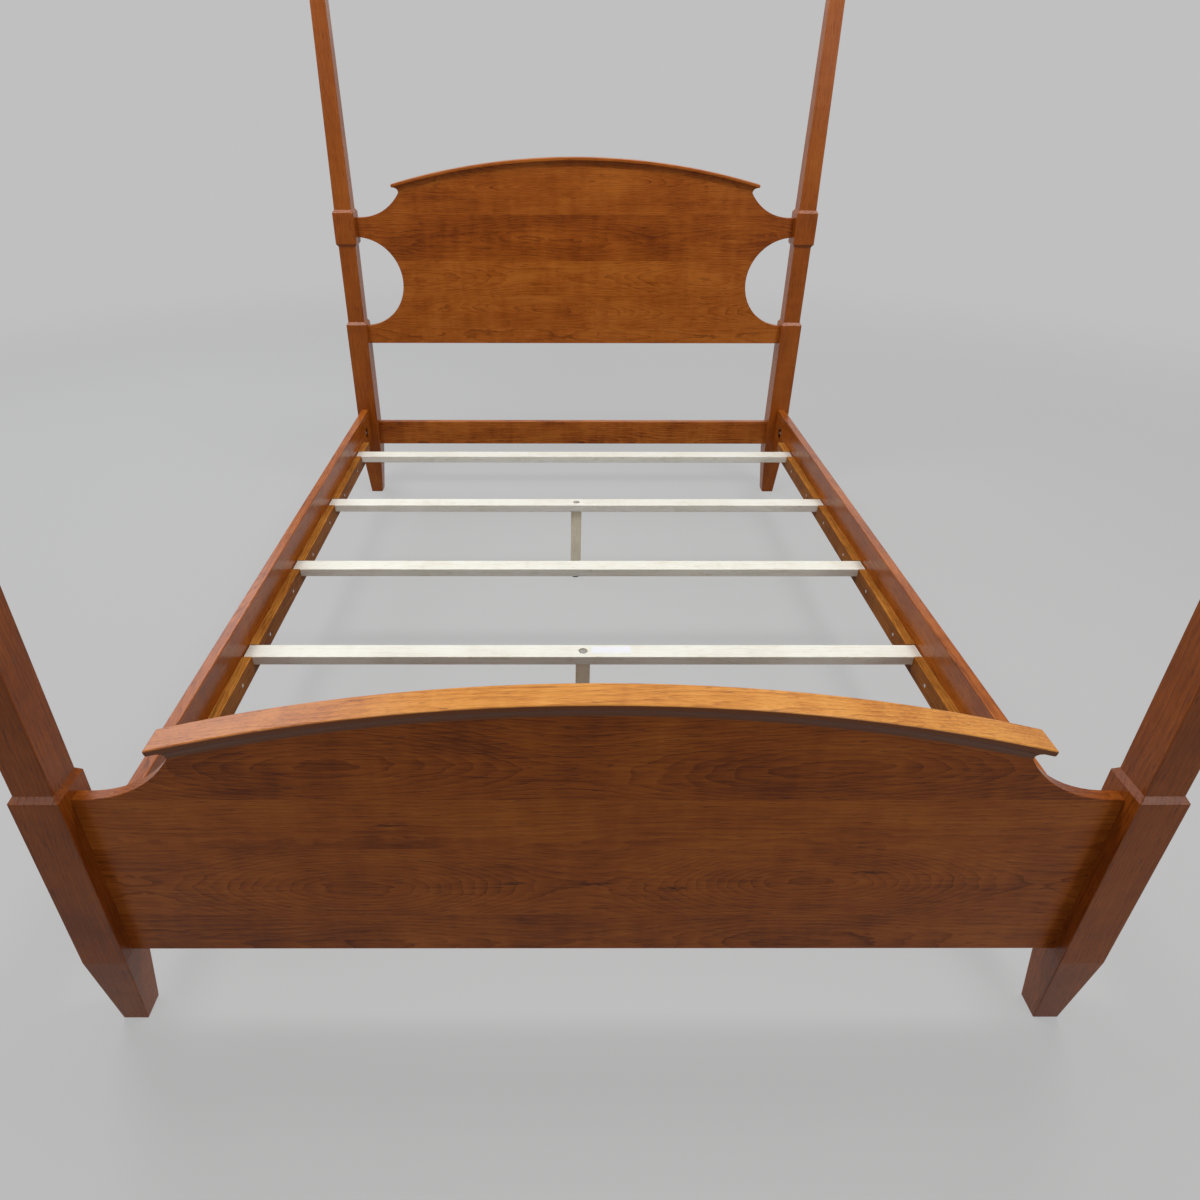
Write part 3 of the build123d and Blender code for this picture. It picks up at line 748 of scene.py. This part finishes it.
def floor_paint():
    """The background's grey, mixed near the bed with paint that takes shadows."""
    material, graph = new_material("floor_paint")
    distance = graph.vector("LENGTH", graph.place())
    far = graph.step(distance, SHADOW_FADE_START, SHADOW_FADE_END)
    glow_share = graph.spread(far, 0, 1, GLOW_NEAR_BED, 1.0)
    seen = graph.seen()
    level = graph.spread(seen, 0, 1, FLOOR_BOUNCE, FLOOR_ALBEDO)
    diffuse = graph.node("ShaderNodeBsdfDiffuse", {"Color": graph.grey(level)})
    glow = graph.node("ShaderNodeEmission", {
        "Color": (BACKGROUND, BACKGROUND, BACKGROUND, 1.0), "Strength": 1.0})
    mixed = graph.node("ShaderNodeMixShader", {
        0: graph.product(seen, glow_share), 1: diffuse.outputs[0], 2: glow.outputs[0]})
    return finish_material(material, graph, mixed)


def room_world():
    """An even grey room: what the camera and reflections see is the background's colour."""
    world = bpy.data.worlds.new("room")
    world.use_nodes = True
    world.node_tree.nodes.clear()
    graph = Graph(world.node_tree)
    height = graph.parts(graph.node("ShaderNodeTexCoord").outputs["Generated"])[2]
    soft = graph.spread(height, 0.0, AMBIENT_HIGH_FROM, AMBIENT_LOW, AMBIENT_HIGH)
    level = graph.math("MULTIPLY_ADD", graph.seen(),
                       graph.math("SUBTRACT", BACKGROUND, soft), soft)
    background = graph.node("ShaderNodeBackground", {"Color": (1, 1, 1, 1), "Strength": level})
    output = graph.node("ShaderNodeOutputWorld")
    world.node_tree.links.new(background.outputs[0], output.inputs["Surface"])
    scene.world = world


def softbox(name, place, target, size, watts, color=(1, 1, 1)):
    """A rectangular lamp that the camera doesn't see."""
    light = bpy.data.lights.new(name, "AREA")
    light.shape = "RECTANGLE"
    light.size, light.size_y = size
    light.energy = watts
    light.color = color
    holder = bpy.data.objects.new(name, light)
    scene.collection.objects.link(holder)
    holder.location = place
    aim = Vector(target) - Vector(place)
    holder.rotation_euler = aim.to_track_quat("-Z", "Y").to_euler()
    holder.visible_camera = False


def light_room():
    """Lamps over the bed, a weaker ring of them around it, and a window to the left."""
    room_world()
    for name, sign in SIDES.items():
        softbox(f"overhead_{name}", place=(1.45 * sign, -0.3, 3.0), target=(0, 0.4, 0.3),
                size=(0.85, 0.75), watts=28)
    softbox("overhead_middle", place=(0, 0.8, 3.0), target=(0, 0.6, 0.3),
            size=(1.6, 1.0), watts=7)
    softbox("front_left", place=(-2.85, -4.2, 1.95), target=(-0.6, -1.0, 0.5),
            size=(0.7, 0.6), watts=9, color=(0.96, 0.97, 1.0))
    softbox("front_right", place=(2.85, -4.2, 1.95), target=(0.6, -1.0, 0.5),
            size=(0.8, 0.7), watts=20, color=(0.98, 0.98, 1.0))
    softbox("window", place=(-2.9, 2.3, 2.35), target=(0, -0.4, 0.5),
            size=(2.4, 1.8), watts=38, color=(0.90, 0.94, 1.0))
    softbox("rear", place=(1.6, 4.4, 2.7), target=(0, 0.2, 0.6),
            size=(3.0, 2.0), watts=16, color=(1.0, 0.985, 0.96))
    softbox("front_high", place=(0.2, -3.5, 3.5), target=(0, -0.9, 0.4),
            size=(2.6, 1.8), watts=6)


def place_camera():
    data = bpy.data.cameras.new("camera")
    data.sensor_width = SENSOR
    data.lens = FOCAL_PIXELS / IMAGE_SIDE * SENSOR
    data.shift_x = 0.5 - CENTRE_PIXEL[0] / IMAGE_SIDE
    data.shift_y = CENTRE_PIXEL[1] / IMAGE_SIDE - 0.5
    camera = bpy.data.objects.new("camera", data)
    scene.collection.objects.link(camera)
    camera.location = CAMERA_PLACE
    level = Euler((math.radians(90 + CAMERA_PITCH), 0, -math.radians(CAMERA_YAW)), "XYZ")
    roll = Matrix.Rotation(math.radians(-CAMERA_ROLL), 4, "Z")
    camera.rotation_euler = (level.to_matrix().to_4x4() @ roll).to_euler()
    scene.camera = camera


def new_piece(name, made, material):
    """Turns the mesh that was built into an object of the scene."""
    mesh = bpy.data.meshes.new(name)
    made.to_mesh(mesh)
    made.free()
    mesh.materials.append(material)
    piece = bpy.data.objects.new(name, mesh)
    scene.collection.objects.link(piece)
    return piece


def label_paper():
    """Bare white label stock: fine fibres, faint yellowing and a satin face."""
    material, graph = new_material("label_paper")
    place = graph.place()
    fibres = graph.noise(place, (900, 1600, 900), 3.0, 0.6)
    cloud = graph.noise(place, (40, 40, 40), 2.0, 0.5)
    share = graph.sum(0.3, graph.wave(fibres, 0.5), graph.wave(cloud, 0.8))
    shader = graph.node("ShaderNodeBsdfPrincipled", {
        "Base Color": graph.mix(share, srgb(246, 247, 252), srgb(236, 238, 243)),
        "Roughness": graph.spread(fibres, 0.3, 0.7, 0.38, 0.5),
        "Normal": graph.bump(fibres, 0.15, 0.00005), "Specular IOR Level": 0.4})
    return finish_material(material, graph, shader)


# Blank paper label on the top of slat_4, right of the leg bolt
LABEL_LEFT, LABEL_RIGHT = 0.019, 0.110
LABEL_NEAR, LABEL_FAR = -0.4045, -0.379
LABEL_CORNER = 0.0025
LABEL_THICK = 0.00012
CORNER_STEPS = 6


def label_outline():
    """The label's four rounded corners, counterclockwise from the far right one."""
    outline = []
    for x, y, start in ((LABEL_RIGHT, LABEL_FAR, 0), (LABEL_LEFT, LABEL_FAR, 90),
                        (LABEL_LEFT, LABEL_NEAR, 180), (LABEL_RIGHT, LABEL_NEAR, 270)):
        inward_x = -1 if x == LABEL_RIGHT else 1
        inward_y = -1 if y == LABEL_FAR else 1
        for step in range(CORNER_STEPS + 1):
            turn = math.radians(start + 90 / CORNER_STEPS * step)
            outline.append((x + LABEL_CORNER * (inward_x + math.cos(turn)),
                            y + LABEL_CORNER * (inward_y + math.sin(turn))))
    return outline


def add_label():
    """A thin sheet with rounded corners that lies on the slat and lifts with it."""
    _, slat_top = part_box("slat_4")
    made = bmesh.new()
    face = made.faces.new([made.verts.new((x, y, slat_top.z)) for x, y in label_outline()])
    raised = bmesh.ops.extrude_face_region(made, geom=[face])
    top = [item for item in raised["geom"] if isinstance(item, bmesh.types.BMVert)]
    bmesh.ops.translate(made, verts=top, vec=(0, 0, LABEL_THICK))
    bmesh.ops.recalc_face_normals(made, faces=made.faces)
    piece = new_piece("slat_label", made, label_paper())
    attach(piece, "slat_4")


# Leveler stud: a metric screw with a 1.25 mm pitch above a hexagon, on a plain stem
THREAD_PITCH = 0.00125
THREAD_DEPTH = 0.00068
THREAD_RADIUS = 0.004
STEM_RADIUS = THREAD_RADIUS * 0.8
HEXAGON_FLATS = 0.013
HEXAGON_LOW, HEXAGON_HIGH = 0.008, 0.013
HEXAGON_CHAMFER = 0.0008
CHAMFER_RADIUS = HEXAGON_FLATS * 0.53

# Shares of the pitch that the thread's flat crest and its two sloping flanks take
CREST_SHARE, FLANK_SHARE = 0.12, 0.76

# The screw's end narrows over this height, down to this share of its radius
TIP_HEIGHT = 0.0009
TIP_SHARE = 0.88

# Points around the stud, a multiple of 12 for the hexagon's corners, and rings per pitch
TURN_STEPS = 36
PITCH_STEPS = 9


def thread_radius(height, turn, to_top):
    """Radius of the screw's surface at a height, for an angle given in turns."""
    phase = (height / THREAD_PITCH - turn) % 1.0
    flank = (abs(phase - 0.5) * 2 - CREST_SHARE) / FLANK_SHARE
    radius = THREAD_RADIUS - THREAD_DEPTH * min(1.0, max(0.0, flank))
    return radius * (TIP_SHARE + (1 - TIP_SHARE) * min(1.0, to_top / TIP_HEIGHT))


def hexagon_radius(turn):
    """How far the hexagon's side is from its middle, for an angle given in turns."""
    from_flat = (turn * 6 % 1.0 - 0.5) * math.tau / 6
    return HEXAGON_FLATS / 2 / math.cos(from_flat)


def add_ring(made, middle, height, radius_at):
    """Points around the stud's middle at a height, where radius_at gives their distance."""
    points = []
    for step in range(TURN_STEPS):
        turn = step / TURN_STEPS
        angle = math.tau * turn
        points.append(made.verts.new((middle.x + radius_at(turn) * math.cos(angle),
                                      middle.y + radius_at(turn) * math.sin(angle),
                                      height)))
    return points


def add_skin(made, rings):
    """Closes the rings into one solid, from the lowest to the highest."""
    for under, over in zip(rings, rings[1:]):
        for step in range(TURN_STEPS):
            after = (step + 1) % TURN_STEPS
            made.faces.new((under[step], under[after], over[after], over[step]))
    made.faces.new(list(reversed(rings[0])))
    made.faces.new(rings[-1])


def add_leveler_stud(number, material):
    """Replaces the plain stud by one with its thread and chamfered hexagon cut in."""
    low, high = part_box(f"leveler_stud_{number}")
    middle = (low + high) / 2
    made = bmesh.new()

    def ring(height, radius_at):
        return add_ring(made, middle, height, radius_at)

    def stem(turn):
        return STEM_RADIUS

    def chamfered(turn):
        return min(hexagon_radius(turn), CHAMFER_RADIUS)

    length = high.z - HEXAGON_HIGH
    count = round(length / THREAD_PITCH * PITCH_STEPS)
    heights = [HEXAGON_HIGH + length * level / count for level in range(count + 1)]
    add_skin(made, [ring(height, lambda turn: thread_radius(height, turn, high.z - height))
                    for height in heights])
    add_skin(made, [ring(low.z, stem), ring(HEXAGON_LOW, stem)])
    add_skin(made, [ring(HEXAGON_LOW, chamfered),
                    ring(HEXAGON_LOW + HEXAGON_CHAMFER, hexagon_radius),
                    ring(HEXAGON_HIGH - HEXAGON_CHAMFER, hexagon_radius),
                    ring(HEXAGON_HIGH, chamfered)])
    piece = new_piece(f"threaded_stud_{number}", made, material)
    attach(piece, f"leveler_{number}_stud")
    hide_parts(f"leveler_stud_{number}")


place_camera()
stage_floor()
light_room()
scene.view_settings.view_transform = "Standard"

dress_posts()
dress_boards()
dress_rails()
dress_slats()
dress_hardware()
add_label()
